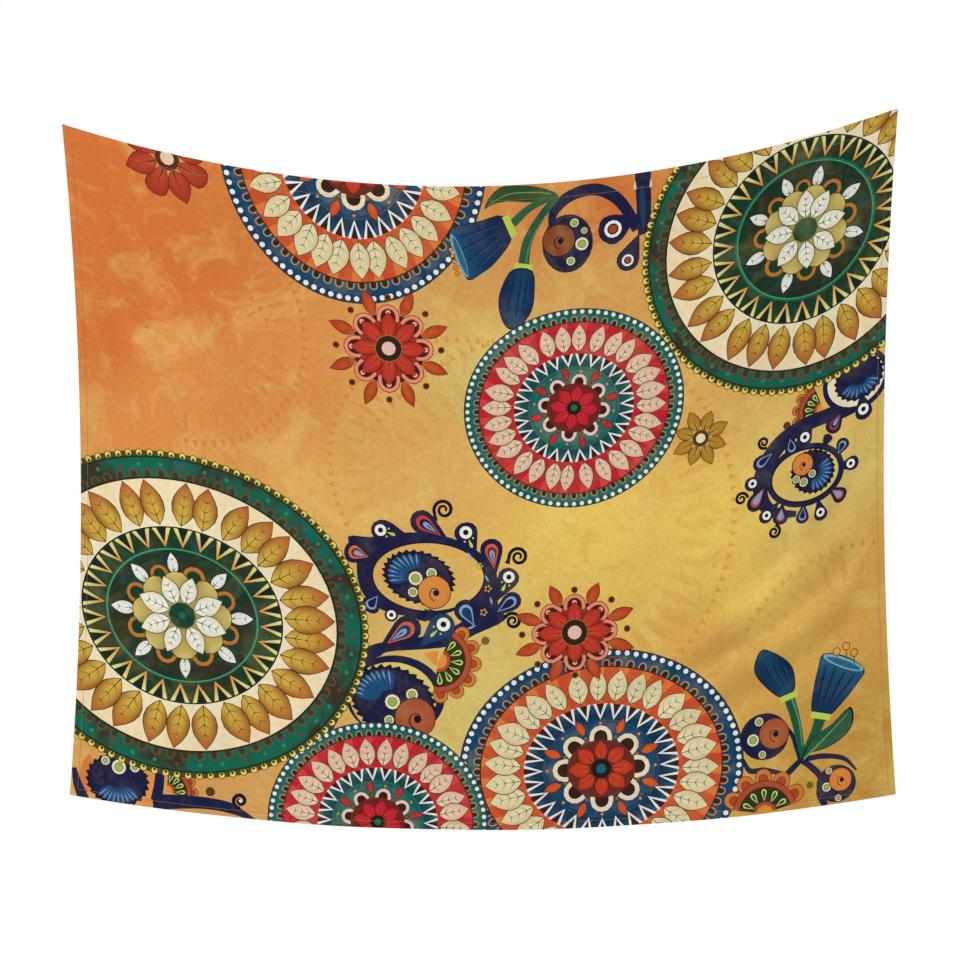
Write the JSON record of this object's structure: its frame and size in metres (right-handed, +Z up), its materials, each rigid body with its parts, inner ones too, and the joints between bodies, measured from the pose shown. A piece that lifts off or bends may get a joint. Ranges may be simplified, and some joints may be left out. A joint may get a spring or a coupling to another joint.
{
  "type": "tapestry wall hanging",
  "caption": "Printed cloth wall hanging, wider than tall, hung from two small cord loops behind its upper corners, with turned and stitched hems.",
  "frame": {"origin": "midpoint between the two places where the hanging loops bear on their nails", "axes": "+X to the right seen from the front, the printed front faces -Y, the wall is on the +Y side, +Z up"},
  "size_m": [1.4718, 0.0203, 1.2705],
  "materials": {
    "printed_cloth": "matt plain-weave polyester, dye printed on its front",
    "hem_cloth": "pale back of the same cloth, turned twice and pressed",
    "sewing_thread": "twisted polyester thread, slight sheen",
    "loop_cord": "fine braided cord",
    "woven_label": "blank satin-woven label"
  },
  "bodies": {
    "hanging_loops": {"upper_left_loop": "loop_cord", "upper_right_loop": "loop_cord"},
    "cloth": {"printed_panel": "printed_cloth", "top_hem": "hem_cloth", "bottom_hem": "hem_cloth", "left_hem": "hem_cloth", "right_hem": "hem_cloth", "top_hem_needle_thread": "sewing_thread", "top_hem_bobbin_thread": "sewing_thread", "bottom_hem_needle_thread": "sewing_thread", "bottom_hem_bobbin_thread": "sewing_thread", "left_hem_needle_thread": "sewing_thread", "left_hem_bobbin_thread": "sewing_thread", "right_hem_needle_thread": "sewing_thread", "right_hem_bobbin_thread": "sewing_thread", "upper_left_bar_tack": "sewing_thread", "upper_right_bar_tack": "sewing_thread"},
    "label": {"care_label": "woven_label"}
  },
  "joints": [
    {"name": "cloth_swing", "type": "hinge", "parent": "hanging_loops", "child": "cloth", "pos_m": [0, 0, 0.00125], "axis": [-0.9998, 0, -0.019], "range_deg": [0, 80]},
    {"name": "care_label_flip", "type": "hinge", "parent": "cloth", "child": "label", "pos_m": [-0.6963, -0.0011, -0.98784], "axis": [0.046, 0, 0.9989], "range_deg": [0, 150]}
  ]
}
